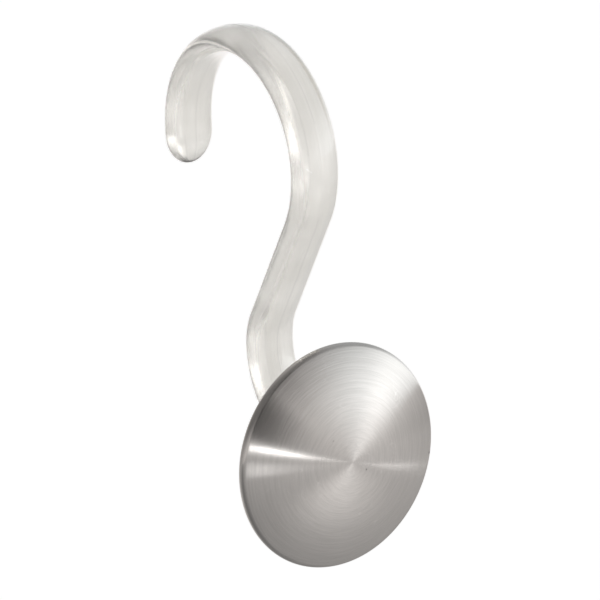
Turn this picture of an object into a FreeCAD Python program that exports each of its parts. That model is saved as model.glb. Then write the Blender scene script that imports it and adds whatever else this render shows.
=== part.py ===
import FreeCAD, Part
import math
import os

import Sketcher

# Curtain hook: a clear moulded limb that hangs over a rail, with a brushed steel disc on its lower front end.
# Millimetres. +Z is up, the disc faces -Y, and the limb bends in the plane X = 0.
# The origin is on the inside of the saddle, at its crown, where the hook bears on the top of the rail.

DRIVING_SIZES = {
    # Oval limb
    "limb_width": 8.9,
    "limb_thickness": 4.5,
    # Bends and runs of the limb, from the free tip to the disc; the bends' radii are at the limb's middle line,
    # apart from the saddle's, which is the radius that the rail sees
    "tip_round_length": 5.5,
    "tip_run": 1.2,
    "saddle_radius": 16.0,
    "shank_lean": 31.6,
    "shank_length": 21.0,
    "heel_radius": 10.6,
    "toe_radius": 15.1,
    "stem_run": 2.4,
    # Pressed disc
    "disc_diameter": 38.1,
    "dome_height": 4.8,
    "rim_radius": 1.0,
    "sheet_thickness": 0.5,
    "lip_width": 1.6,
    # Backing plate that the disc is crimped round
    "plate_thickness": 1.8,
    "plate_clearance": 0.1,
    "stem_fillet": 1.6,
}

# Sizes that follow from the driving ones, as formulas of the sheet
FOLLOWING_SIZES = {
    "crown_radius": "=saddle_radius + limb_thickness / 2",
    "tip_height": "=-saddle_radius - tip_run",
    # Shank: where it leaves the saddle bend and where it meets the heel bend, forward and up
    "shank_top_forward": "=crown_radius * cos(shank_lean * 1 deg)",
    "shank_top_height": "=-saddle_radius - crown_radius * sin(shank_lean * 1 deg)",
    "shank_foot_forward": "=shank_top_forward - shank_length * sin(shank_lean * 1 deg)",
    "shank_foot_height": "=shank_top_height - shank_length * cos(shank_lean * 1 deg)",
    "heel_centre_forward": "=shank_foot_forward + heel_radius * cos(shank_lean * 1 deg)",
    "heel_centre_height": "=shank_foot_height - heel_radius * sin(shank_lean * 1 deg)",
    "toe_centre_forward": "=heel_centre_forward - heel_radius + toe_radius",
    # Disc: its axis, the plane of its widest circle, and the dome's radius, tangent to the rolled rim
    "axis_height": "=heel_centre_height - toe_radius",
    "plate_back_forward": "=toe_centre_forward + stem_run",
    "rim_inner_radius": "=rim_radius - sheet_thickness",
    "rim_forward": "=plate_back_forward + rim_inner_radius",
    "rim_centre_radius": "=disc_diameter / 2 - rim_radius",
    "dome_radius": "=(rim_centre_radius ^ 2 + dome_height ^ 2 - rim_radius ^ 2) / (2 * (dome_height - rim_radius))",
    "dome_centre_forward": "=rim_forward + dome_height - dome_radius",
}


def make_sheet(document):
    """Spreadsheet with one row for each size: its name, its value and an alias of that name."""
    sheet = document.addObject("Spreadsheet::Sheet", "Sizes")
    rows = list(DRIVING_SIZES.items()) + list(FOLLOWING_SIZES.items())
    for row, (name, content) in enumerate(rows, start=1):
        sheet.set(f"A{row}", name)
        sheet.set(f"B{row}", str(content))
        sheet.setAlias(f"B{row}", name)
    document.recompute()
    return sheet


def origin_plane(body, role):
    """One of the body's own origin planes, such as XY_Plane."""
    return next(plane for plane in body.Origin.OriginFeatures if plane.Role == role)


def new_sketch(body, name, role):
    """Empty sketch on one of the body's origin planes."""
    sketch = body.newObject("Sketcher::SketchObject", name)
    sketch.AttachmentSupport = [(origin_plane(body, role), "")]
    sketch.MapMode = "FlatFace"
    return sketch


def drive(sketch, kind, *where, by):
    """Add a dimension to a sketch and bind it to a formula of the sheet."""
    start = abs(sketch.evalExpression(by))
    value = getattr(start, "Value", start)
    if kind == "Angle":
        value = math.radians(value)
    index = sketch.addConstraint(Sketcher.Constraint(kind, *where, value))
    sketch.setExpression(f"Constraints[{index}]", by)
    return index


def flat_point(y, z):
    """Point of a sketch on the YZ plane."""
    return FreeCAD.Vector(y, z, 0)


def circle_arc(y, z, radius, start_degrees, end_degrees):
    """Arc of a sketch on the YZ plane, counter-clockwise from +Y."""
    circle = Part.Circle(flat_point(y, z), FreeCAD.Vector(0, 0, 1), radius)
    return Part.ArcOfCircle(circle, math.radians(start_degrees), math.radians(end_degrees))


START = 1
END = 2
CENTRE = 3
ORIGIN = (-1, START)


def limb_path(body, sheet):
    """Middle line of the limb, from the tip over the saddle and down the shank to the back of the disc."""
    sketch = new_sketch(body, "LimbPath", "YZ_Plane")
    lean = sheet.shank_lean
    tip = sketch.addGeometry(Part.LineSegment(
        flat_point(sheet.crown_radius, sheet.tip_height),
        flat_point(sheet.crown_radius, -sheet.saddle_radius)))
    saddle = sketch.addGeometry(circle_arc(0, -sheet.saddle_radius, sheet.crown_radius, 0, 180 + lean))
    shank = sketch.addGeometry(Part.LineSegment(
        flat_point(-sheet.shank_top_forward, sheet.shank_top_height),
        flat_point(-sheet.shank_foot_forward, sheet.shank_foot_height)))
    heel = sketch.addGeometry(circle_arc(
        -sheet.heel_centre_forward, sheet.heel_centre_height, sheet.heel_radius, 0, lean))
    toe = sketch.addGeometry(circle_arc(
        -sheet.toe_centre_forward, sheet.heel_centre_height, sheet.toe_radius, -90, 0))
    stem = sketch.addGeometry(Part.LineSegment(
        flat_point(-sheet.toe_centre_forward, sheet.axis_height),
        flat_point(-sheet.plate_back_forward, sheet.axis_height)))

    joins = [(tip, END, saddle, START), (saddle, END, shank, START), (shank, END, heel, END),
             (heel, START, toe, END), (toe, START, stem, START)]
    for join in joins:
        sketch.addConstraint(Sketcher.Constraint("Tangent", *join))
    sketch.addConstraint(Sketcher.Constraint("Vertical", tip))
    sketch.addConstraint(Sketcher.Constraint("PointOnObject", saddle, CENTRE, -2))
    sketch.addConstraint(Sketcher.Constraint("Horizontal", heel, CENTRE, toe, CENTRE))
    sketch.addConstraint(Sketcher.Constraint("Horizontal", stem))
    drive(sketch, "DistanceY", saddle, CENTRE, *ORIGIN, by="Sizes.saddle_radius")
    drive(sketch, "Radius", saddle, by="Sizes.crown_radius")
    drive(sketch, "Distance", tip, by="Sizes.tip_run")
    drive(sketch, "Distance", shank, by="Sizes.shank_length")
    drive(sketch, "DistanceX", saddle, END, *ORIGIN, by="Sizes.shank_top_forward")
    drive(sketch, "Radius", heel, by="Sizes.heel_radius")
    drive(sketch, "Radius", toe, by="Sizes.toe_radius")
    drive(sketch, "Distance", stem, by="Sizes.stem_run")
    return sketch


def limb_section(body, sheet):
    """Oval section of the limb, across the start of its path at the tip."""
    sketch = new_sketch(body, "LimbSection", "XY_Plane")
    sketch.setExpression("AttachmentOffset.Base.z", "Sizes.tip_height")
    middle = FreeCAD.Vector(0, sheet.crown_radius, 0)
    broad_end = middle + FreeCAD.Vector(sheet.limb_width / 2, 0, 0)
    thin_end = middle + FreeCAD.Vector(0, sheet.limb_thickness / 2, 0)
    oval = sketch.addGeometry(Part.Ellipse(broad_end, thin_end, middle))
    sketch.exposeInternalGeometry(oval)
    broad_axis = oval + 1
    thin_axis = oval + 2
    sketch.addConstraint(Sketcher.Constraint("PointOnObject", oval, CENTRE, -2))
    sketch.addConstraint(Sketcher.Constraint("Horizontal", broad_axis))
    drive(sketch, "DistanceY", *ORIGIN, oval, CENTRE, by="Sizes.crown_radius")
    drive(sketch, "Distance", broad_axis, by="Sizes.limb_width")
    drive(sketch, "Distance", thin_axis, by="Sizes.limb_thickness")
    return sketch


def add_tip(body):
    """Rounded free end of the limb: the lower half of an ellipsoid that carries on the oval section."""
    tip = body.newObject("PartDesign::AdditiveEllipsoid", "TipEnd")
    tip.AttachmentSupport = [(origin_plane(body, "XY_Plane"), "")]
    tip.MapMode = "FlatFace"
    tip.Angle1 = -90
    tip.Angle2 = 0
    tip.setExpression("AttachmentOffset.Base.y", "Sizes.crown_radius")
    tip.setExpression("AttachmentOffset.Base.z", "Sizes.tip_height")
    tip.setExpression("Radius1", "Sizes.tip_round_length")
    tip.setExpression("Radius2", "Sizes.limb_width / 2")
    tip.setExpression("Radius3", "Sizes.limb_thickness / 2")
    return tip


def plate_profile(body, sheet):
    """Half section of the backing plate: flat back and front, and an edge that follows the inside of the dome."""
    sketch = new_sketch(body, "PlateProfile", "YZ_Plane")
    back = -sheet.plate_back_forward
    front = back - sheet.plate_thickness
    edge_radius = sheet.rim_centre_radius - sheet.plate_clearance
    dome_radius = sheet.dome_radius - sheet.sheet_thickness - sheet.plate_clearance
    dome_centre = -sheet.dome_centre_forward
    edge_front = dome_centre - math.sqrt(dome_radius ** 2 - edge_radius ** 2)
    front_radius = math.sqrt(dome_radius ** 2 - (dome_centre - front) ** 2)
    axis_height = sheet.axis_height

    def at(y, radius):
        return flat_point(y, axis_height + radius)

    def bearing(y, radius):
        return math.degrees(math.atan2(radius, y - dome_centre))

    axis = sketch.addGeometry(Part.LineSegment(at(front, 0), at(back, 0)))
    back_face = sketch.addGeometry(Part.LineSegment(at(back, 0), at(back, edge_radius)))
    edge = sketch.addGeometry(Part.LineSegment(at(back, edge_radius), at(edge_front, edge_radius)))
    shoulder = sketch.addGeometry(circle_arc(
        dome_centre, axis_height, dome_radius, bearing(edge_front, edge_radius), bearing(front, front_radius)))
    front_face = sketch.addGeometry(Part.LineSegment(at(front, front_radius), at(front, 0)))

    joins = [(axis, END, back_face, START), (back_face, END, edge, START), (edge, END, shoulder, START),
             (shoulder, END, front_face, START), (front_face, END, axis, START)]
    for join in joins:
        sketch.addConstraint(Sketcher.Constraint("Coincident", *join))
    for line in (axis, edge):
        sketch.addConstraint(Sketcher.Constraint("Horizontal", line))
    for line in (back_face, front_face):
        sketch.addConstraint(Sketcher.Constraint("Vertical", line))
    sketch.addConstraint(Sketcher.Constraint("PointOnObject", shoulder, CENTRE, axis))
    drive(sketch, "DistanceY", axis, START, *ORIGIN, by="-Sizes.axis_height")
    drive(sketch, "DistanceX", axis, END, *ORIGIN, by="Sizes.plate_back_forward")
    drive(sketch, "Distance", axis, by="Sizes.plate_thickness")
    drive(sketch, "Distance", back_face, by="Sizes.rim_centre_radius - Sizes.plate_clearance")
    drive(sketch, "Radius", shoulder, by="Sizes.dome_radius - Sizes.sheet_thickness - Sizes.plate_clearance")
    drive(sketch, "DistanceX", axis, START, shoulder, CENTRE,
          by="Sizes.dome_radius - Sizes.dome_height - Sizes.rim_inner_radius + Sizes.plate_thickness")
    return sketch, axis


def add_revolution(body, name, sketch, axis_index):
    """Full turn of a profile about one of its own lines."""
    revolution = body.newObject("PartDesign::Revolution", name)
    revolution.Profile = sketch
    revolution.ReferenceAxis = (sketch, [f"Edge{axis_index + 1}"])
    revolution.Angle = 360
    return revolution


def stem_root_edges(shape, sheet):
    """Edges where the stem meets the back of the plate, all within the stem's own oval."""
    names = []
    for number, edge in enumerate(shape.Edges, start=1):
        box = edge.BoundBox
        on_plate_back = box.YLength < 1e-4 and abs(box.YMin + sheet.plate_back_forward) < 1e-4
        in_stem = box.XLength < sheet.limb_width * 1.01
        if on_plate_back and in_stem:
            names.append(f"Edge{number}")
    return names


def make_hook(document, sheet):
    """Clear moulding: oval limb, rounded tip and backing plate, with a fillet at the stem's root."""
    body = document.addObject("PartDesign::Body", "Hook")
    body.Label = "hook"
    limb = body.newObject("PartDesign::AdditivePipe", "Limb")
    limb.Profile = limb_section(body, sheet)
    path = limb_path(body, sheet)
    document.recompute()
    limb.Spine = (path, [f"Edge{number}" for number in range(1, path.GeometryCount + 1)])
    document.recompute()
    add_tip(body)
    document.recompute()
    profile, axis = plate_profile(body, sheet)
    plate = add_revolution(body, "BackingPlate", profile, axis)
    document.recompute()
    root = body.newObject("PartDesign::Fillet", "StemRoot")
    root.Base = (plate, stem_root_edges(plate.Shape, sheet))
    root.setExpression("Radius", "Sizes.stem_fillet")
    document.recompute()
    return body


def cap_profile(body, sheet):
    """Half section of the pressed disc: domed sheet, rolled rim and the lip turned in behind the plate."""
    sketch = new_sketch(body, "CapProfile", "YZ_Plane")
    rim = -sheet.rim_forward
    dome_centre = -sheet.dome_centre_forward
    apex = rim - sheet.dome_height
    rim_centre_radius = sheet.rim_centre_radius
    lip_radius = rim_centre_radius - sheet.lip_width
    axis_height = sheet.axis_height
    tangent_bearing = math.degrees(math.atan2(rim_centre_radius, rim - dome_centre))

    def at(y, radius):
        return flat_point(y, axis_height + radius)

    axis = sketch.addGeometry(Part.LineSegment(at(apex, 0), at(apex + sheet.sheet_thickness, 0)))
    dome_in = sketch.addGeometry(circle_arc(
        dome_centre, axis_height, sheet.dome_radius - sheet.sheet_thickness, tangent_bearing, 180))
    rim_in = sketch.addGeometry(circle_arc(
        rim, axis_height + rim_centre_radius, sheet.rim_inner_radius, 0, tangent_bearing))
    lip_in = sketch.addGeometry(Part.LineSegment(
        at(rim + sheet.rim_inner_radius, rim_centre_radius), at(rim + sheet.rim_inner_radius, lip_radius)))
    lip_edge = sketch.addGeometry(Part.LineSegment(
        at(rim + sheet.rim_inner_radius, lip_radius), at(rim + sheet.rim_radius, lip_radius)))
    lip_out = sketch.addGeometry(Part.LineSegment(
        at(rim + sheet.rim_radius, lip_radius), at(rim + sheet.rim_radius, rim_centre_radius)))
    rim_out = sketch.addGeometry(circle_arc(
        rim, axis_height + rim_centre_radius, sheet.rim_radius, 0, tangent_bearing))
    dome_out = sketch.addGeometry(circle_arc(
        dome_centre, axis_height, sheet.dome_radius, tangent_bearing, 180))

    smooth_joins = [(dome_in, START, rim_in, END), (rim_in, START, lip_in, START),
                    (lip_out, END, rim_out, START), (rim_out, END, dome_out, START)]
    corner_joins = [(axis, END, dome_in, END), (lip_in, END, lip_edge, START),
                    (lip_edge, END, lip_out, START), (dome_out, END, axis, START)]
    for join in smooth_joins:
        sketch.addConstraint(Sketcher.Constraint("Tangent", *join))
    for join in corner_joins:
        sketch.addConstraint(Sketcher.Constraint("Coincident", *join))
    sketch.addConstraint(Sketcher.Constraint("Horizontal", axis))
    sketch.addConstraint(Sketcher.Constraint("Horizontal", lip_edge))
    sketch.addConstraint(Sketcher.Constraint("Coincident", dome_in, CENTRE, dome_out, CENTRE))
    sketch.addConstraint(Sketcher.Constraint("Coincident", rim_in, CENTRE, rim_out, CENTRE))
    sketch.addConstraint(Sketcher.Constraint("PointOnObject", dome_out, CENTRE, axis))
    drive(sketch, "DistanceY", axis, START, *ORIGIN, by="-Sizes.axis_height")
    drive(sketch, "DistanceX", rim_out, CENTRE, *ORIGIN, by="Sizes.rim_forward")
    drive(sketch, "DistanceY", axis, START, rim_out, CENTRE, by="Sizes.rim_centre_radius")
    drive(sketch, "Radius", rim_out, by="Sizes.rim_radius")
    drive(sketch, "DistanceX", axis, START, rim_out, CENTRE, by="Sizes.dome_height")
    drive(sketch, "Distance", axis, by="Sizes.sheet_thickness")
    drive(sketch, "Distance", lip_out, by="Sizes.lip_width")
    return sketch, axis


def make_disc_cap(document, sheet):
    """Pressed steel disc, turned about its own axis."""
    body = document.addObject("PartDesign::Body", "DiscCap")
    body.Label = "disc_cap"
    profile, axis = cap_profile(body, sheet)
    add_revolution(body, "PressedSheet", profile, axis)
    document.recompute()
    return body


def check(document, bodies):
    """Stop before anything is written if an object failed or a solid is not whole."""
    for item in document.Objects:
        if "Invalid" in item.State or "Error" in item.State:
            raise RuntimeError(f"{item.Label}: {item.State}")
    for body in bodies:
        shape = body.Shape
        if shape.isNull() or not shape.isValid() or len(shape.Solids) != 1:
            raise RuntimeError(f"{body.Label}: no whole solid")


def main():
    document = FreeCAD.newDocument("CurtainHook")
    sheet = make_sheet(document)
    bodies = [make_hook(document, sheet), make_disc_cap(document, sheet)]
    check(document, bodies)
    os.makedirs("parts", exist_ok=True)
    for body in bodies:
        body.Shape.exportStep(f"parts/{body.Label}.step")
        box = body.Shape.BoundBox
        print(f"{body.Label}: {body.Shape.Volume:.1f} mm3, "
              f"X {box.XMin:.2f} to {box.XMax:.2f}, Y {box.YMin:.2f} to {box.YMax:.2f}, "
              f"Z {box.ZMin:.2f} to {box.ZMax:.2f}")


main()
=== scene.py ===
# %% [markdown]
# # A curtain hook with a brushed disc
# The object is a shower curtain hook: a clear plastic limb, bent like a question mark, that hangs over a
# rail, with a round domed steel disc on its lower front end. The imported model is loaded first, as a fixed
# frame. Every length here is in metres, in that same frame: +Z is up, the disc faces -Y, and the origin is
# on the inside of the saddle bend, at its crown.

# %% Load the frame
import math

import bpy
from mathutils import Matrix, Quaternion, Vector


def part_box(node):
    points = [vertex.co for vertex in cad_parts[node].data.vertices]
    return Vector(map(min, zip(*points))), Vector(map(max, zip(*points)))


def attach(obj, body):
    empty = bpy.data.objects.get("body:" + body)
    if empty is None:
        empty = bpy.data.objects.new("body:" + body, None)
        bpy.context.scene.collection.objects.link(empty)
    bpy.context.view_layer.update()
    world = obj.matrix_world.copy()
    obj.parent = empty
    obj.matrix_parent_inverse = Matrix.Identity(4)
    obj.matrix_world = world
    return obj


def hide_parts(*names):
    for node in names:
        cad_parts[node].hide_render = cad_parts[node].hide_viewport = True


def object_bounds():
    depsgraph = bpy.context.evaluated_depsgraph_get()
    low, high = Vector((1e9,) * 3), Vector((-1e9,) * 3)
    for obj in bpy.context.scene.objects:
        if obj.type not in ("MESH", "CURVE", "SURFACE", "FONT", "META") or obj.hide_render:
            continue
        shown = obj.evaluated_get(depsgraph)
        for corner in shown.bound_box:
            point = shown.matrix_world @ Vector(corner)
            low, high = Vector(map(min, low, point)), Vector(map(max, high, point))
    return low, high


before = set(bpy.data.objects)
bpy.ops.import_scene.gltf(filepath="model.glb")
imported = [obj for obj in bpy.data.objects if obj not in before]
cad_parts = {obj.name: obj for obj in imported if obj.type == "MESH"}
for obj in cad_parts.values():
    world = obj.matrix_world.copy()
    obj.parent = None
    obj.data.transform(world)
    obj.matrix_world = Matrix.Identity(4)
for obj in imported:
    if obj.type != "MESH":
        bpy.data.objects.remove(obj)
cad_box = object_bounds()
print("CAD nodes:", sorted(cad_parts))
print("CAD box:", [tuple(corner) for corner in cad_box])

# %% [markdown]
# ## Sizes
# Two pieces are drawn again here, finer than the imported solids: light bends through the clear limb and runs
# in streaks over the brushed disc, and both show every facet of a coarse mesh. The pieces keep the form of
# the solids, so the sizes are the same driving dimensions, and the next step checks them against the
# frame's boxes.

# %% Driving dimensions
MM = 0.001
LIMB_WIDTH = 8.9 * MM
LIMB_THICKNESS = 4.5 * MM
TIP_ROUND_LENGTH = 5.5 * MM
TIP_RUN = 1.2 * MM
SADDLE_RADIUS = 16.0 * MM
SHANK_LEAN = math.radians(31.6)
SHANK_LENGTH = 21.0 * MM
HEEL_RADIUS = 10.6 * MM
TOE_RADIUS = 15.1 * MM
STEM_RUN = 2.4 * MM
STEM_FILLET = 1.6 * MM
DISC_RADIUS = 19.05 * MM
DOME_HEIGHT = 4.8 * MM
RIM_RADIUS = 1.0 * MM
SHEET_THICKNESS = 0.5 * MM
LIP_WIDTH = 1.6 * MM
PLATE_THICKNESS = 1.8 * MM
PLATE_CLEARANCE = 0.1 * MM

CROWN_RADIUS = SADDLE_RADIUS + LIMB_THICKNESS / 2
RIM_CENTRE_RADIUS = DISC_RADIUS - RIM_RADIUS
DOME_RADIUS = ((RIM_CENTRE_RADIUS ** 2 + DOME_HEIGHT ** 2 - RIM_RADIUS ** 2)
               / (2 * (DOME_HEIGHT - RIM_RADIUS)))
print(f"dome's radius {DOME_RADIUS / MM:.2f} mm")

# %% [markdown]
# ## The limb's middle line
# The limb follows straight runs and bends that meet smoothly. The line could be a Bezier curve with a
# bevel, but a bevel gives no control over where the mesh is dense. Walking along it in small steps, like a
# turtle that turns as it goes, gives the place and the heading of every ring that the mesh needs. Where a
# run meets a bend, clear plastic shows the sudden change of curvature as a line, so the heading is averaged
# over a short ease, which moves the line by a few hundredths of a millimetre, and the gap this leaves at
# the end is shared out along the limb.

# %% Walk along the limb
RING_STEP = 0.42 * MM
STRIDES_PER_RING = 4
EASE_LENGTH = 2.4 * MM
EASE_SAMPLES = 11
LIMB_RUNS = (
    (TIP_RUN, 0.0),
    (CROWN_RADIUS * (math.pi + SHANK_LEAN), math.pi + SHANK_LEAN),
    (SHANK_LENGTH, 0.0),
    (HEEL_RADIUS * SHANK_LEAN, -SHANK_LEAN),
    (TOE_RADIUS * math.pi / 2, -math.pi / 2),
    (STEM_RUN - STEM_FILLET, 0.0),
)
LIMB_LENGTH = sum(length for length, turn in LIMB_RUNS)


def sharp_heading(distance):
    """Heading at a distance from the tip, as a turn from +Z towards -Y."""
    heading = 0.0
    for length, turn in LIMB_RUNS:
        share = min(max(distance / length, 0.0), 1.0)
        heading += turn * share
        distance -= length
    return heading


def eased_heading(distance):
    """Heading averaged over the ease, which closes up towards both ends of the limb."""
    reach = min(EASE_LENGTH / 2, distance, LIMB_LENGTH - distance)
    shifts = [2 * step / (EASE_SAMPLES - 1) - 1 for step in range(EASE_SAMPLES)]
    return sum(sharp_heading(distance + reach * shift) for shift in shifts) / EASE_SAMPLES


def walk_limb(heading_at):
    """Places (y, z) and headings along the middle line, from the tip to the root of the stem."""
    steps = round(LIMB_LENGTH / RING_STEP)
    stride = LIMB_LENGTH / (steps * STRIDES_PER_RING)
    y, z = CROWN_RADIUS, -SADDLE_RADIUS - TIP_RUN
    stations = [(y, z, 0.0)]
    for step in range(1, steps * STRIDES_PER_RING + 1):
        middle = heading_at((step - 0.5) * stride)
        y -= stride * math.sin(middle)
        z += stride * math.cos(middle)
        if step % STRIDES_PER_RING == 0:
            stations.append((y, z, heading_at(step * stride)))
    return stations


sharp_stations = walk_limb(sharp_heading)
stations = walk_limb(eased_heading)
miss_y = sharp_stations[-1][0] - stations[-1][0]
miss_z = sharp_stations[-1][1] - stations[-1][1]
last_step = len(stations) - 1
stations = [(y + miss_y * step / last_step, z + miss_z * step / last_step, heading)
            for step, (y, z, heading) in enumerate(stations)]
shift = max(math.dist(eased[:2], sharp[:2]) for eased, sharp in zip(stations, sharp_stations))
print(f"easing the bends moves the middle line by {shift / MM:.3f} mm at most")
root_y, AXIS_HEIGHT = stations[-1][:2]
PLATE_BACK = root_y - STEM_FILLET
RIM_PLANE = PLATE_BACK - (RIM_RADIUS - SHEET_THICKNESS)
DOME_CENTRE = RIM_PLANE - DOME_HEIGHT + DOME_RADIUS
disc_low, disc_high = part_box("disc_cap")
print(f"stations: {len(stations)}, disc axis at z = {AXIS_HEIGHT / MM:.2f} mm, "
      f"frame says {(disc_low.z + disc_high.z) / 2 / MM:.2f} mm")
print(f"dome apex at y = {(RIM_PLANE - DOME_HEIGHT) / MM:.2f} mm, frame says {disc_low.y / MM:.2f} mm")

# %% [markdown]
# ## Skinning rings
# Both pieces are closed skins over a row of rings: ovals along the limb that open out into the round
# backing plate, and circles from the dome's apex round the rolled rim to the inside. Lofting curves could
# do it too, but one helper that takes the rings in order, joins each to the next with quads and closes both
# ends on a point makes each piece one closed mesh with no stray faces.

# %% Ring helper
def skin_rings(name, first_point, rings, last_point, sharp_rings=()):
    """Closed mesh over rings of equally many points, shaded smooth, with creases along the sharp rings."""
    count = len(rings[0])
    points = [first_point]
    for ring in rings:
        points.extend(ring)
    points.append(last_point)
    last = len(points) - 1

    def corner(ring, step):
        return 1 + ring * count + step % count

    faces = []
    for step in range(count):
        faces.append((0, corner(0, step + 1), corner(0, step)))
        for ring in range(len(rings) - 1):
            faces.append((corner(ring, step), corner(ring, step + 1),
                          corner(ring + 1, step + 1), corner(ring + 1, step)))
        faces.append((last, corner(len(rings) - 1, step), corner(len(rings) - 1, step + 1)))
    mesh = bpy.data.meshes.new(name)
    mesh.from_pydata([tuple(point) for point in points], [], faces)
    mesh.update()
    mesh.polygons.foreach_set("use_smooth", [True] * len(mesh.polygons))
    creases = {frozenset((corner(ring, step), corner(ring, step + 1)))
               for ring in sharp_rings for step in range(count)}
    for edge in mesh.edges:
        if frozenset(edge.vertices) in creases:
            edge.use_edge_sharp = True
    piece = bpy.data.objects.new(name, mesh)
    bpy.context.scene.collection.objects.link(piece)
    print(f"{name}: {len(rings)} rings of {count}, {2 * len(mesh.polygons)} triangles at most")
    return piece


def outward(piece):
    """Turn the skin inside out if its faces look inwards, told by the sign of its volume."""
    mesh = piece.data
    volume = 0.0
    for face in mesh.polygons:
        volume += face.center.dot(face.normal) * face.area
    if volume < 0:
        mesh.flip_normals()
    print(f"{piece.name}: volume {abs(volume) / 3 / MM ** 3:.0f} mm3")


# %% [markdown]
# ## The clear hook
# The limb, the stem and the backing plate are one moulding. The mould's two halves meet on the plane X = 0
# and leave a fine raised line along the middle of the limb's broad faces, and the plastic came in through a
# gate at the tip, which was snapped off and left a small rough flat. Both are real shapes on the surface,
# so they are in the mesh: the points of each oval crowd together near the line, and the points near the
# tip's end are held back on the flat.

# %% Oval ring of the limb
OVAL_POINTS = 192
OVAL_CROWDING = 0.3
PARTING_LINE_HEIGHT = 0.035 * MM
PARTING_LINE_WIDTH = 0.18 * MM


def oval_angles():
    """Angles round the oval, crowded towards the middle of its two broad faces."""
    angles = []
    for step in range(OVAL_POINTS):
        turn = 2 * math.pi * step / OVAL_POINTS
        angles.append(turn + OVAL_CROWDING * math.sin(2 * turn))
    return angles


def oval_section(scale=1.0):
    """Points (across, out) of the limb's section, with the parting line on both broad faces."""
    section = []
    for angle in oval_angles():
        across = scale * LIMB_WIDTH / 2 * math.cos(angle)
        line = math.exp(-(across / PARTING_LINE_WIDTH) ** 2)
        half_thickness = LIMB_THICKNESS / 2 - PARTING_LINE_HEIGHT * (1 - line)
        section.append((across, scale * half_thickness * math.sin(angle)))
    return section


def oval_ring(y, z, heading, scale=1.0):
    """Ring of the limb across its heading."""
    return [Vector((across, y + out * math.cos(heading), z + out * math.sin(heading)))
            for across, out in oval_section(scale)]


# %% Rounded tip with its gate mark
TIP_RINGS = 40
GATE_MARK_DEPTH = 0.07 * MM


def tip_rings():
    """Rings of the tip's rounded end, from next to its lowest point up to the straight run."""
    y, z, heading = stations[0]
    flat = z - TIP_ROUND_LENGTH + GATE_MARK_DEPTH
    rings = []
    for step in range(1, TIP_RINGS):
        turn = math.pi / 2 * step / TIP_RINGS
        height = max(z - TIP_ROUND_LENGTH * math.cos(turn), flat)
        rings.append(oval_ring(y, height, heading, scale=math.sin(turn)))
    return Vector((0, y, flat)), rings


# %% Stem root and backing plate
FILLET_RINGS = 14
PLATE_RINGS = 12
SHOULDER_RINGS = 8


def disc_ring(y, radius, angles):
    """Circle about the disc's axis."""
    return [Vector((radius * math.cos(angle), y, AXIS_HEIGHT + radius * math.sin(angle)))
            for angle in angles]


def root_ring(y, grow):
    """Stem's oval, grown outwards by the fillet."""
    ring = []
    for across, out in oval_section():
        away = Vector((across / LIMB_WIDTH ** 2, 0, out / LIMB_THICKNESS ** 2)).normalized()
        ring.append(Vector((across, y, AXIS_HEIGHT + out)) + grow * away)
    return ring


def plate_rings():
    """Rings from the stem's fillet over the plate's back, edge and shoulder to its front, with creases."""
    rings = []
    for step in range(1, FILLET_RINGS + 1):
        turn = math.pi / 2 * step / FILLET_RINGS
        rings.append(root_ring(root_y - STEM_FILLET * math.sin(turn), STEM_FILLET * (1 - math.cos(turn))))
    edge_radius = RIM_CENTRE_RADIUS - PLATE_CLEARANCE
    inner, outer = rings[-1], disc_ring(PLATE_BACK, edge_radius, oval_angles())
    for step in range(1, PLATE_RINGS + 1):
        rings.append([a.lerp(b, step / PLATE_RINGS) for a, b in zip(inner, outer)])
    creases = [len(rings) - 1]
    shoulder_radius = DOME_RADIUS - SHEET_THICKNESS - PLATE_CLEARANCE
    front = PLATE_BACK - PLATE_THICKNESS
    front_radius = math.sqrt(shoulder_radius ** 2 - (DOME_CENTRE - front) ** 2)
    for step in range(SHOULDER_RINGS + 1):
        radius = edge_radius + (front_radius - edge_radius) * step / SHOULDER_RINGS
        y = DOME_CENTRE - math.sqrt(shoulder_radius ** 2 - radius ** 2)
        rings.append(disc_ring(y, radius, oval_angles()))
    creases += [len(rings) - 1 - SHOULDER_RINGS, len(rings) - 1]
    for step in range(1, PLATE_RINGS):
        rings.append(disc_ring(front, front_radius * (1 - step / PLATE_RINGS), oval_angles()))
    return rings, creases, Vector((0, front, AXIS_HEIGHT))


# %% Join the clear hook
tip_point, hook_rings = tip_rings()
hook_rings += [oval_ring(*station) for station in stations]
plate, plate_creases, plate_middle = plate_rings()
plate_start = len(hook_rings)
hook_rings += plate
clear_hook = skin_rings("clear_hook", tip_point, hook_rings, plate_middle,
                        sharp_rings=[plate_start + crease for crease in plate_creases])
outward(clear_hook)
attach(clear_hook, "root")
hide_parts("hook")

# %% [markdown]
# ## The pressed disc
# The disc is thin steel sheet, pressed to a shallow dome, rolled over at the rim and turned in behind the
# backing plate. Its section is a few arcs that meet smoothly, turned about the disc's axis, so the rings
# are circles.

# %% Rings of the disc
DISC_POINTS = 256
DOME_RINGS = 40
RIM_RINGS = 24
LIP_RINGS = 4
RIM_BEARING = math.atan2(RIM_CENTRE_RADIUS, DOME_CENTRE - RIM_PLANE)


def dome_section(radius):
    """Dome's arc as (y, radius) points, from next to the apex to the rolled rim."""
    section = []
    for step in range(1, DOME_RINGS + 1):
        turn = RIM_BEARING * step / DOME_RINGS
        section.append((DOME_CENTRE - radius * math.cos(turn), radius * math.sin(turn)))
    return section


def rim_section(radius):
    """Rolled rim's arc as (y, radius) points, from the dome round to the flat lip."""
    section = []
    for step in range(1, RIM_RINGS + 1):
        turn = RIM_BEARING + (math.pi - RIM_BEARING) * step / RIM_RINGS
        section.append((RIM_PLANE - radius * math.cos(turn), RIM_CENTRE_RADIUS + radius * math.sin(turn)))
    return section


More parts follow.
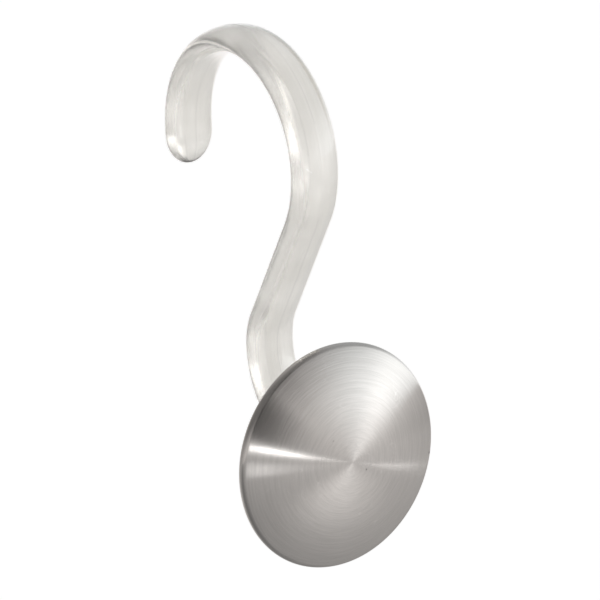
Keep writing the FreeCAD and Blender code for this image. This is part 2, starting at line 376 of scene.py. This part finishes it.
def lip_section(y):
    """Flat lip as (y, radius) points, from the rim inwards."""
    return [(y, RIM_CENTRE_RADIUS - LIP_WIDTH * step / LIP_RINGS) for step in range(1, LIP_RINGS + 1)]


outside = dome_section(DOME_RADIUS) + rim_section(RIM_RADIUS) + lip_section(RIM_PLANE + RIM_RADIUS)
inside = (dome_section(DOME_RADIUS - SHEET_THICKNESS) + rim_section(RIM_RADIUS - SHEET_THICKNESS)
          + lip_section(RIM_PLANE + RIM_RADIUS - SHEET_THICKNESS))
disc_angles = [2 * math.pi * step / DISC_POINTS for step in range(DISC_POINTS)]
disc_rings = [disc_ring(y, radius, disc_angles) for y, radius in outside + inside[::-1]]
apex = Vector((0, RIM_PLANE - DOME_HEIGHT, AXIS_HEIGHT))
brushed_disc = skin_rings("brushed_disc", apex, disc_rings, apex + Vector((0, SHEET_THICKNESS, 0)),
                          sharp_rings=[len(outside) - 1, len(outside)])
outward(brushed_disc)
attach(brushed_disc, "root")
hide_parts("disc_cap")

# %% [markdown]
# ## Node helpers
# A material is a small graph of nodes. These helpers keep the graphs short: each adds a node or two, feeds
# them values or the outputs of other nodes, and gives back the output.

# %% Node helpers
def add_node(tree, kind, settings=None, **inputs):
    """New node; settings are its own properties, inputs its sockets by name, with _ for a space."""
    node = tree.nodes.new(kind)
    for key, value in (settings or {}).items():
        setattr(node, key, value)
    for key, value in inputs.items():
        feed(tree, node.inputs[key.replace("_", " ")], value)
    return node


def feed(tree, socket, value):
    """Link an output to a socket, or set the socket's own value."""
    if isinstance(value, bpy.types.NodeSocket):
        tree.links.new(value, socket)
    else:
        socket.default_value = value


def math_node(tree, operation, *values):
    """Math over values or outputs."""
    node = add_node(tree, "ShaderNodeMath", {"operation": operation})
    for socket, value in zip(node.inputs, values):
        feed(tree, socket, value)
    return node.outputs[0]


def vector_node(tree, operation, *vectors):
    """Vector math; a length or a dot product comes out as a value."""
    node = add_node(tree, "ShaderNodeVectorMath", {"operation": operation})
    for socket, vector in zip(node.inputs, vectors):
        feed(tree, socket, vector)
    return node.outputs["Value" if operation in ("LENGTH", "DOT_PRODUCT") else "Vector"]


def noise_node(tree, vector, scale, detail):
    """Noise from 0 to 1, mostly near a half."""
    return add_node(tree, "ShaderNodeTexNoise", Vector=vector, Scale=scale, Detail=detail).outputs["Fac"]


def stretch(tree, value, low, high, to_low=0.0, to_high=1.0):
    """Value's range from low to high, spread smoothly over another range."""
    node = add_node(tree, "ShaderNodeMapRange", {"interpolation_type": "SMOOTHSTEP"}, Value=value)
    for key, number in (("From Min", low), ("From Max", high), ("To Min", to_low), ("To Max", to_high)):
        feed(tree, node.inputs[key], number)
    return node.outputs["Result"]


def blend(tree, factor, first, second):
    """Value between two, by a factor."""
    return math_node(tree, "MULTIPLY_ADD", factor, math_node(tree, "SUBTRACT", second, first), first)


def mix_colors(tree, factor, first, second):
    """Colour between two, by a factor."""
    node = add_node(tree, "ShaderNodeMix", {"data_type": "RGBA"})
    for socket, value in zip((node.inputs[0], node.inputs[6], node.inputs[7]), (factor, first, second)):
        feed(tree, socket, value)
    return node.outputs[2]


def new_material(name):
    """Material with only a Principled shader, linked to its output, and the place on the object."""
    material = bpy.data.materials.new(name)
    material.use_nodes = True
    tree = material.node_tree
    tree.nodes.clear()
    shader = add_node(tree, "ShaderNodeBsdfPrincipled")
    output = add_node(tree, "ShaderNodeOutputMaterial")
    tree.links.new(shader.outputs["BSDF"], output.inputs["Surface"])
    place = add_node(tree, "ShaderNodeTexCoord").outputs["Object"]
    return material, tree, shader, place


# %% [markdown]
# ## Marks of handling
# Hooks lie loose in a box and are pushed along a rail, so plastic and steel alike carry smudges and specks,
# and the softer plastic hairline scuffs too. That could be painted, but a node group makes the marks from
# noise once, and each finish places the group with its own scales, in marks per metre.

# %% Handling marks
SMUDGE_DETAIL = 4.0
SMUDGE_FROM, SMUDGE_TO = 0.38, 0.66
SCUFF_TURN = (0.3, 0.6, 0.2)
SCUFF_STRETCH = (0.12, 0.12, 2.4)
SCUFF_DETAIL = 1.0
SCUFF_FROM, SCUFF_TO = 0.70, 0.76
SPECK_RADIUS = 0.09
SPECK_FREE_SHARE = 0.72


def make_handling_marks():
    """Node group with a mask each for smudges, scuffs and specks."""
    group = bpy.data.node_groups.new("handling_marks", "ShaderNodeTree")
    group.interface.new_socket("Place", in_out="INPUT", socket_type="NodeSocketVector")
    for name in ("Smudge Scale", "Scuff Scale", "Speck Scale"):
        group.interface.new_socket(name, in_out="INPUT", socket_type="NodeSocketFloat")
    for name in ("Smudge", "Scuff", "Speck"):
        group.interface.new_socket(name, in_out="OUTPUT", socket_type="NodeSocketFloat")
    given = add_node(group, "NodeGroupInput").outputs
    clouds = noise_node(group, given["Place"], given["Smudge Scale"], SMUDGE_DETAIL)
    smudge = stretch(group, clouds, SMUDGE_FROM, SMUDGE_TO)
    turned = add_node(group, "ShaderNodeMapping", Vector=given["Place"], Rotation=SCUFF_TURN,
                      Scale=SCUFF_STRETCH).outputs["Vector"]
    hairs = noise_node(group, turned, given["Scuff Scale"], SCUFF_DETAIL)
    scuff = stretch(group, hairs, SCUFF_FROM, SCUFF_TO)
    dots = add_node(group, "ShaderNodeTexVoronoi", Vector=given["Place"],
                    Scale=given["Speck Scale"]).outputs
    dot = stretch(group, dots["Distance"], SPECK_RADIUS / 2, SPECK_RADIUS, 1.0, 0.0)
    draw = add_node(group, "ShaderNodeSeparateColor", Color=dots["Color"]).outputs["Red"]
    chosen = math_node(group, "GREATER_THAN", draw, SPECK_FREE_SHARE)
    speck = math_node(group, "MULTIPLY", dot, chosen)
    add_node(group, "NodeGroupOutput", Smudge=smudge, Scuff=scuff, Speck=speck)
    return group


handling_marks = make_handling_marks()


def add_marks(tree, place, smudges, specks, scuffs=0.0):
    """Handling marks of one finish, with their numbers per metre."""
    return add_node(tree, "ShaderNodeGroup", {"node_tree": handling_marks}, Place=place,
                    Smudge_Scale=smudges, Scuff_Scale=scuffs, Speck_Scale=specks).outputs


print("handling marks:", len(handling_marks.nodes), "nodes")

# %% [markdown]
# ## Clear plastic
# The moulding is clear, a little warm and grey, with a bright gloss over a faintly hazy body. Clear plastic
# could be mixed from a glass and a transparent shader, but the Principled shader bends and reflects light
# in one step. Its body is a little rough, which blurs what shows through, and a smooth coat keeps the
# reflections sharp. The melt left faint flow lines along the limb: noise that is fine across the limb, in
# X, and long in Y and Z follows it round every bend. The parting line's ridge bends light away, and painted
# shade darkens the colour along it; the rough gate mark loses some light, so it is darker than the rest.

# %% Clear plastic material
CLEAR_DEEP = (0.81, 0.79, 0.745, 1)
CLEAR_PALE = (0.905, 0.885, 0.845, 1)
TONE_FROM, TONE_TO = 0.25, 0.75
FLOW_STRETCH = (900, 18, 18)
FLOW_DETAIL = 3.0
FLOW_SHARE, SMUDGE_SHARE = 0.65, 0.35
PARTING_LINE_SHADE = (0.52, 0.50, 0.475, 1)
PARTING_LINE_REACH = 0.14 * MM
PARTING_LINE_SHARE = 0.45
GATE_COLOR = (0.34, 0.33, 0.31, 1)
GATE_MARK_REACH = 0.6 * MM
BODY_ROUGHNESS = 0.22
SMUDGE_HAZE = 0.02
SCUFF_HAZE = 0.02
CLEARNESS = 0.95
PLASTIC_IOR = 1.49
COAT_WEIGHT = 1.0
COAT_ROUGHNESS = 0.03
RIPPLE_HEIGHT = 0.0004 * MM
SPECK_HEIGHT = -0.3

clear_plastic, tree, shader, place = new_material("clear_plastic")
marks = add_marks(tree, place, smudges=110, specks=520, scuffs=1500)
flow = noise_node(tree, vector_node(tree, "MULTIPLY", place, FLOW_STRETCH), 1.0, FLOW_DETAIL)
tone = math_node(tree, "MULTIPLY", flow, FLOW_SHARE)
tone = math_node(tree, "MULTIPLY_ADD", marks["Smudge"], SMUDGE_SHARE, tone)
clear = mix_colors(tree, stretch(tree, tone, TONE_FROM, TONE_TO), CLEAR_DEEP, CLEAR_PALE)
sides = add_node(tree, "ShaderNodeSeparateXYZ", Vector=place).outputs
# Painted shade along the parting line: the limb's colour darkens towards X = 0, where the ridge bends light
# away.
from_line = math_node(tree, "ABSOLUTE", sides["X"])
line = stretch(tree, from_line, 0.0, PARTING_LINE_REACH, PARTING_LINE_SHARE, 0.0)
on_limb = math_node(tree, "GREATER_THAN", sides["Y"], root_y)
clear = mix_colors(tree, math_node(tree, "MULTIPLY", line, on_limb), clear, PARTING_LINE_SHADE)
from_gate = vector_node(tree, "LENGTH", vector_node(tree, "SUBTRACT", place, tip_point))
gate = stretch(tree, from_gate, GATE_MARK_REACH / 2, GATE_MARK_REACH, 1.0, 0.0)
feed(tree, shader.inputs["Base Color"], mix_colors(tree, gate, clear, GATE_COLOR))
haze = math_node(tree, "MULTIPLY_ADD", marks["Smudge"], SMUDGE_HAZE, BODY_ROUGHNESS)
haze = math_node(tree, "MULTIPLY_ADD", marks["Scuff"], SCUFF_HAZE, haze)
feed(tree, shader.inputs["Roughness"], haze)
shader.inputs["Transmission Weight"].default_value = CLEARNESS
shader.inputs["IOR"].default_value = PLASTIC_IOR
shader.inputs["Coat Weight"].default_value = COAT_WEIGHT
shader.inputs["Coat Roughness"].default_value = COAT_ROUGHNESS
shader.inputs["Coat IOR"].default_value = PLASTIC_IOR
ripple = math_node(tree, "MULTIPLY_ADD", marks["Speck"], SPECK_HEIGHT, flow)
bump = add_node(tree, "ShaderNodeBump", Strength=1.0, Distance=RIPPLE_HEIGHT, Height=ripple)
feed(tree, shader.inputs["Normal"], bump.outputs["Normal"])
coat_bump = add_node(tree, "ShaderNodeBump", Strength=1.0, Distance=RIPPLE_HEIGHT, Height=flow)
feed(tree, shader.inputs["Coat Normal"], coat_bump.outputs["Normal"])
clear_hook.data.materials.append(clear_plastic)
print("clear plastic:", len(tree.nodes), "nodes")

# %% [markdown]
# ## Brushed steel
# The disc was turned against an abrasive, so fine scratches run in circles about its middle. They spread a
# reflection across themselves and hardly along themselves, which draws light out into streaks from the
# middle to the rim. Cut grooves would need millions of faces, so the shader's anisotropy does the
# spreading, with its tangent running round the disc's axis, and noise that is fine along the radius and
# long round the disc draws the scratches. A few pale hairlines from handling run over them, in patches:
# each follows the places where a noise passes its middle value.

# %% Brushed steel material
STEEL_DARK = (0.62, 0.60, 0.58, 1)
STEEL_PALE = (0.675, 0.653, 0.633, 1)
PIT_COLOR = (0.16, 0.15, 0.145, 1)
SCRATCHES = ((5500, 2.5, 0.65), (2500, 2.0, 0.3), (900, 1.2, 0.05))
SCRATCH_DETAIL = 2.0
SCRATCH_FROM, SCRATCH_TO = 0.34, 0.66
SCRATCH_DEPTH = 0.0085 * MM
HAIRLINE_COLOR = (0.88, 0.86, 0.84, 1)
HAIRLINE_SHARE = 0.35
HAIRLINE_REACH = 0.009
HAIRLINES_PER_METRE = 380.0
HAIRLINE_DETAIL = 1.0
PATCHES_PER_METRE = 130.0
PATCH_DETAIL = 0.0
PATCH_FROM, PATCH_TO = 0.55, 0.68
NOISE_MIDDLE = 0.5
STEEL_ROUGHNESS = 0.205
SMUDGE_ROUGHNESS = 0.012
QUARTER_TURN = 0.25

brushed_steel, tree, shader, place = new_material("brushed_steel")
marks = add_marks(tree, place, smudges=140, specks=330)
from_axis = vector_node(tree, "SUBTRACT", place, (0, 0, AXIS_HEIGHT))
from_axis = vector_node(tree, "MULTIPLY", from_axis, (1, 0, 1))
radius = vector_node(tree, "LENGTH", from_axis)
bearing = vector_node(tree, "NORMALIZE", from_axis)
scratch = 0.0
for per_metre, round_scale, share in SCRATCHES:
    around = vector_node(tree, "SCALE", bearing)
    around.node.inputs["Scale"].default_value = round_scale
    turned = add_node(tree, "ShaderNodeSeparateXYZ", Vector=around).outputs
    lane = math_node(tree, "MULTIPLY", radius, per_metre)
    lanes = add_node(tree, "ShaderNodeCombineXYZ", X=turned["X"], Y=turned["Z"], Z=lane).outputs["Vector"]
    scratch = math_node(tree, "MULTIPLY_ADD", noise_node(tree, lanes, 1.0, SCRATCH_DETAIL), share, scratch)
steel = mix_colors(tree, stretch(tree, scratch, SCRATCH_FROM, SCRATCH_TO), STEEL_DARK, STEEL_PALE)
waves = noise_node(tree, place, HAIRLINES_PER_METRE, HAIRLINE_DETAIL)
off_middle = math_node(tree, "ABSOLUTE", math_node(tree, "SUBTRACT", waves, NOISE_MIDDLE))
hairline = stretch(tree, off_middle, 0.0, HAIRLINE_REACH, HAIRLINE_SHARE, 0.0)
patch = stretch(tree, noise_node(tree, place, PATCHES_PER_METRE, PATCH_DETAIL), PATCH_FROM, PATCH_TO)
steel = mix_colors(tree, math_node(tree, "MULTIPLY", hairline, patch), steel, HAIRLINE_COLOR)
feed(tree, shader.inputs["Base Color"], mix_colors(tree, marks["Speck"], steel, PIT_COLOR))
roughness = math_node(tree, "MULTIPLY_ADD", marks["Smudge"], SMUDGE_ROUGHNESS, STEEL_ROUGHNESS)
feed(tree, shader.inputs["Roughness"], roughness)
shader.inputs["Metallic"].default_value = 1.0
shader.inputs["Anisotropic"].default_value = 1.0
shader.inputs["Anisotropic Rotation"].default_value = QUARTER_TURN
ring_direction = add_node(tree, "ShaderNodeTangent", {"direction_type": "RADIAL", "axis": "Y"})
feed(tree, shader.inputs["Tangent"], ring_direction.outputs["Tangent"])
bump = add_node(tree, "ShaderNodeBump", Strength=1.0, Distance=SCRATCH_DEPTH, Height=scratch)
feed(tree, shader.inputs["Normal"], bump.outputs["Normal"])
brushed_disc.data.materials.append(brushed_steel)
print("brushed steel:", len(tree.nodes), "nodes")

# %% [markdown]
# ## Camera
# The photograph was taken from the hook's left, a little above, from about a metre away with a long lens,
# and the hook leans a little in the frame. The camera aims at the point that falls on the middle of the
# picture.

# %% Camera
PICTURE_WIDTH = 600
CAMERA_AZIMUTH = math.radians(-34.19)
CAMERA_ELEVATION = math.radians(18.07)
CAMERA_ROLL = math.radians(-2.52)
CAMERA_DISTANCE = 1.0
FOCAL_LENGTH_PIXELS = 6109.8
AIM = Vector((0, -12.48, -39.42)) * MM

back = Vector((math.sin(CAMERA_AZIMUTH) * math.cos(CAMERA_ELEVATION),
               -math.cos(CAMERA_AZIMUTH) * math.cos(CAMERA_ELEVATION),
               math.sin(CAMERA_ELEVATION)))
level_right = Vector((math.cos(CAMERA_AZIMUTH), math.sin(CAMERA_AZIMUTH), 0))
level_up = back.cross(level_right)
right = level_right * math.cos(CAMERA_ROLL) + level_up * math.sin(CAMERA_ROLL)
camera_data = bpy.data.cameras.new("camera")
camera_data.sensor_fit = "HORIZONTAL"
camera_data.lens = camera_data.sensor_width * FOCAL_LENGTH_PIXELS / PICTURE_WIDTH
camera = bpy.data.objects.new("camera", camera_data)
bpy.context.scene.collection.objects.link(camera)
camera.rotation_euler = Matrix((right, back.cross(right), back)).transposed().to_euler()
camera.location = AIM + back * CAMERA_DISTANCE
bpy.context.scene.camera = camera
print(f"lens {camera_data.lens:.0f} mm, camera at {tuple(round(c, 3) for c in camera.location)}")

# %% [markdown]
# ## Studio
# The hook hangs clear of a pale floor, in a white studio that is dimmer on the camera's side. The camera
# sees white. For reflections the room grows brighter and a little cooler towards the right, where a window
# would be, and dims overhead, a dark spot in front of the disc, where the photographer stands, gives the
# steel its one dark corner, and the wall behind darkens upwards and to the left. What shows through the
# plastic is white too, a little dimmer overhead, with the window's glow on the right. All of this could be
# an image of a room, but a few smooth steps over the direction of a ray give the same in a handful of
# nodes. Each step has the value where it starts, the value where it ends, and the levels at both.

# %% World
WHITE = (1, 1, 1, 1)
ROOM_WARM, ROOM_COOL = (1.0, 0.965, 0.945, 1), (0.97, 1.0, 1.01, 1)
TINT_BY_SIDE = (0.1, 0.7)
ROOM_BY_SIDE = (0.1, 0.7, 0.72, 1.64)
ROOM_BY_HEIGHT = (0.0, 0.5, 1.0, 0.28)
PHOTOGRAPHER_WAYS = ((-0.12, -0.985, 0.07), (-0.33, -0.91, 0.22), (-0.06, -0.88, 0.47))
PHOTOGRAPHER_BY_NEARNESS = (0.967, 0.988, 0.0, 1.0)
PHOTOGRAPHER_LEVEL = 0.02
BEHIND_BY_DEPTH = (-0.3, 0.4, 0.0, 1.0)
WALL_BY_HEIGHT = (-0.05, 0.35, 1.0, 0.5)
WALL_BY_SIDE = (-0.6, 0.1, 0.4, 1.0)
WINDOW_BY_SIDE = (0.7, 0.86, 0.0, 1.0)
WINDOW_ABOVE_SILL = (-0.12, -0.02, 0.0, 1.0)
WINDOW_BY_HEIGHT = (0.05, 0.4, 1.2, 0.35)
THROUGH_BY_HEIGHT = (0.0, 0.5, 1.0, 0.8)

world = bpy.data.worlds.new("studio")
bpy.context.scene.world = world
world.use_nodes = True
tree = world.node_tree
tree.nodes.clear()
ray = add_node(tree, "ShaderNodeLightPath").outputs
way = vector_node(tree, "NORMALIZE", add_node(tree, "ShaderNodeTexCoord").outputs["Generated"])
along = add_node(tree, "ShaderNodeSeparateXYZ", Vector=way).outputs
room = math_node(tree, "MULTIPLY", stretch(tree, along["X"], *ROOM_BY_SIDE),
                 stretch(tree, along["Z"], *ROOM_BY_HEIGHT))
spot = 0.0
for photographer_way in PHOTOGRAPHER_WAYS:
    nearness = vector_node(tree, "DOT_PRODUCT", way, Vector(photographer_way).normalized())
    spot = math_node(tree, "MAXIMUM", spot, stretch(tree, nearness, *PHOTOGRAPHER_BY_NEARNESS))
room = blend(tree, spot, room, PHOTOGRAPHER_LEVEL)
wall = math_node(tree, "MULTIPLY", stretch(tree, along["Z"], *WALL_BY_HEIGHT),
                 stretch(tree, along["X"], *WALL_BY_SIDE))
level = blend(tree, stretch(tree, along["Y"], *BEHIND_BY_DEPTH), room, wall)
window = math_node(tree, "MULTIPLY", stretch(tree, along["X"], *WINDOW_BY_SIDE),
                   stretch(tree, along["Z"], *WINDOW_ABOVE_SILL))
window = math_node(tree, "MULTIPLY", window, stretch(tree, along["Z"], *WINDOW_BY_HEIGHT))
through = math_node(tree, "ADD", window, stretch(tree, along["Z"], *THROUGH_BY_HEIGHT))
level = blend(tree, ray["Is Transmission Ray"], level, through)
level = math_node(tree, "MAXIMUM", level, ray["Is Camera Ray"])
plain = math_node(tree, "MAXIMUM", ray["Is Camera Ray"], ray["Is Transmission Ray"])
tint = mix_colors(tree, stretch(tree, along["X"], *TINT_BY_SIDE), ROOM_WARM, ROOM_COOL)
tint = mix_colors(tree, plain, tint, WHITE)
sky = add_node(tree, "ShaderNodeBackground", Color=tint, Strength=level)
output = add_node(tree, "ShaderNodeOutputWorld")
tree.links.new(sky.outputs[0], output.inputs["Surface"])
print("studio:", len(tree.nodes), "world nodes")

# %% [markdown]
# ## Floor
# The floor is matt and pale. A lift of its own light takes it up to white for the camera, as a white sheet
# under strong light would look. For the steel's reflections the lift fades under the hook, so that the
# lower half of the disc darkens towards its rim, and grows to the right, to the front and in a small pool
# of light, which draws the pale wedge below the disc's middle. Through the plastic the floor is nearly
# white, a little dimmer far behind the hook and brighter in a patch on the right in front. The steps are
# over places on the floor, in metres, and are given like the studio's.

# %% Floor
FLOOR_DROP = 250 * MM
FLOOR_SIDE = 6.0
FLOOR_COLOR = (0.55, 0.55, 0.55, 1)
FLOOR_LIFT = 0.82
BRIGHT_BY_SIDE = (-0.22, 0.6, 0.0, 0.42)
FALL_BY_SIDE = (0.7, 1.0, 1.0, 0.65)
FRONT_BY_DEPTH = (-0.8, 0.0, 0.31, 0.0)
POOL_PLACE = (0.25, -0.44, 0.0)
POOL_BY_DISTANCE = (0.0, 0.235, 0.80, 0.0)
FAR_BY_DEPTH = (0.0, 0.4, 0.0, 1.0)
FAR_BY_SIDE = (-0.6, 0.1, 0.3, 1.0)
PATCH_LEFT_EDGE = (0.42, 0.6, 0.0, 0.8)
PATCH_RIGHT_EDGE = (0.65, 0.85, 1.0, 0.0)
PATCH_BACK_EDGE = (-0.25, -0.08, 1.0, 0.0)
THROUGH_BY_DEPTH = (0.35, 0.85, 1.06, 0.93)

half = FLOOR_SIDE / 2
floor_height = cad_box[0].z - FLOOR_DROP
floor_mesh = bpy.data.meshes.new("floor")
floor_mesh.from_pydata([(-half, -half, floor_height), (half, -half, floor_height),
                        (half, half, floor_height), (-half, half, floor_height)], [], [(0, 1, 2, 3)])
floor = bpy.data.objects.new("floor", floor_mesh)
bpy.context.scene.collection.objects.link(floor)

floor_material = bpy.data.materials.new("pale_floor")
floor_material.use_nodes = True
tree = floor_material.node_tree
tree.nodes.clear()
ray = add_node(tree, "ShaderNodeLightPath").outputs
place = add_node(tree, "ShaderNodeTexCoord").outputs["Object"]
across = add_node(tree, "ShaderNodeSeparateXYZ", Vector=place).outputs
bright = math_node(tree, "MULTIPLY", stretch(tree, across["X"], *BRIGHT_BY_SIDE),
                   stretch(tree, across["X"], *FALL_BY_SIDE))
bright = math_node(tree, "ADD", bright, stretch(tree, across["Y"], *FRONT_BY_DEPTH))
level_place = vector_node(tree, "MULTIPLY", place, (1, 1, 0))
from_pool = vector_node(tree, "LENGTH", vector_node(tree, "SUBTRACT", level_place, POOL_PLACE))
bright = math_node(tree, "ADD", bright, stretch(tree, from_pool, *POOL_BY_DISTANCE))
far = math_node(tree, "MULTIPLY", stretch(tree, across["Y"], *FAR_BY_DEPTH),
                stretch(tree, across["X"], *FAR_BY_SIDE))
bright = math_node(tree, "MAXIMUM", bright, far)
patch = math_node(tree, "MULTIPLY", stretch(tree, across["X"], *PATCH_LEFT_EDGE),
                  stretch(tree, across["X"], *PATCH_RIGHT_EDGE))
through = math_node(tree, "MULTIPLY_ADD", patch, stretch(tree, across["Y"], *PATCH_BACK_EDGE),
                    stretch(tree, across["Y"], *THROUGH_BY_DEPTH))
seen = math_node(tree, "MULTIPLY", ray["Is Glossy Ray"], bright)
seen = blend(tree, ray["Is Transmission Ray"], seen, through)
seen = math_node(tree, "MAXIMUM", seen, ray["Is Camera Ray"])
plain = math_node(tree, "MAXIMUM", ray["Is Camera Ray"], ray["Is Transmission Ray"])
tint = mix_colors(tree, plain, ROOM_WARM, WHITE)
matt = add_node(tree, "ShaderNodeBsdfDiffuse", Color=FLOOR_COLOR)
strength = math_node(tree, "MULTIPLY", seen, FLOOR_LIFT)
lift = add_node(tree, "ShaderNodeEmission", Color=tint, Strength=strength)
both = add_node(tree, "ShaderNodeAddShader")
output = add_node(tree, "ShaderNodeOutputMaterial")
tree.links.new(matt.outputs[0], both.inputs[0])
tree.links.new(lift.outputs[0], both.inputs[1])
tree.links.new(both.outputs[0], output.inputs["Surface"])
floor_mesh.materials.append(floor_material)
print(f"floor at z = {floor_height / MM:.0f} mm")

# %% [markdown]
# ## Lamps
# Soft panels light the hook: a narrow strip in front draws the bright streak on the disc, a card below it
# the pale band under the streak, a thin strip on the right the line across the disc's right half, and a
# wide panel adds to the bright fan above that line. A plain area lamp has hard edges, which the steel would
# show as hard wedges, so each panel's light fades from its middle to its edges, by the place on the panel
# that the lamp's own nodes can read.

# %% Lamps
WATTS_PER_AREA = 4.0
PANEL_MIDDLE = 0.5


def add_panel(name, direction, distance, length, width, brightness, tilt, even=0.0):
    """Panel that faces the disc from a direction, its length tilted from level by degrees.

    A brightness of 1 is as white as the background. The light is even over a share of the panel's middle.
    """
    panel_data = bpy.data.lights.new(name, "AREA")
    panel_data.shape = "RECTANGLE"
    panel_data.size = length
    panel_data.size_y = width
    panel_data.energy = brightness * WATTS_PER_AREA * length * width
    panel_data.use_nodes = True
    tree = panel_data.node_tree
    spot = add_node(tree, "ShaderNodeNewGeometry").outputs["Parametric"]
    spot = add_node(tree, "ShaderNodeSeparateXYZ", Vector=spot).outputs
    fade = 1.0
    for side in ("X", "Y"):
        from_middle = math_node(tree, "ABSOLUTE", math_node(tree, "SUBTRACT", spot[side], PANEL_MIDDLE))
        side_fade = stretch(tree, from_middle, even / 2, PANEL_MIDDLE, 1.0, 0.0)
        fade = math_node(tree, "MULTIPLY", fade, side_fade)
    feed(tree, tree.nodes["Emission"].inputs["Strength"], fade)
    panel = bpy.data.objects.new(name, panel_data)
    bpy.context.scene.collection.objects.link(panel)
    away = Vector(direction).normalized()
    panel.location = apex + away * distance
    panel.rotation_mode = "QUATERNION"
    panel.rotation_quaternion = away.to_track_quat("Z", "Y") @ Quaternion((0, 0, 1), math.radians(tilt))
    panel.visible_camera = False


add_panel("streak_strip", (-0.054, -0.987, -0.146), distance=0.8, length=0.34, width=0.013,
          brightness=10.8, tilt=-17, even=0.6)
add_panel("low_card", (-0.166, -0.950, -0.262), distance=0.6, length=0.14, width=0.08,
          brightness=1.25, tilt=-7, even=0.4)
add_panel("near_strip", (0.795, -0.438, -0.418), distance=0.4, length=0.20, width=0.003,
          brightness=3.0, tilt=-6, even=0.4)
add_panel("right_panel", (0.725, -0.681, -0.098), distance=0.5, length=0.34, width=0.24,
          brightness=0.65, tilt=28)
print("lamps:", len(bpy.data.lights))

# %% [markdown]
# ## Colour view
# Colours are shown as they are, with no curve over them.

# %% Colour view
bpy.context.scene.view_settings.view_transform = "Standard"
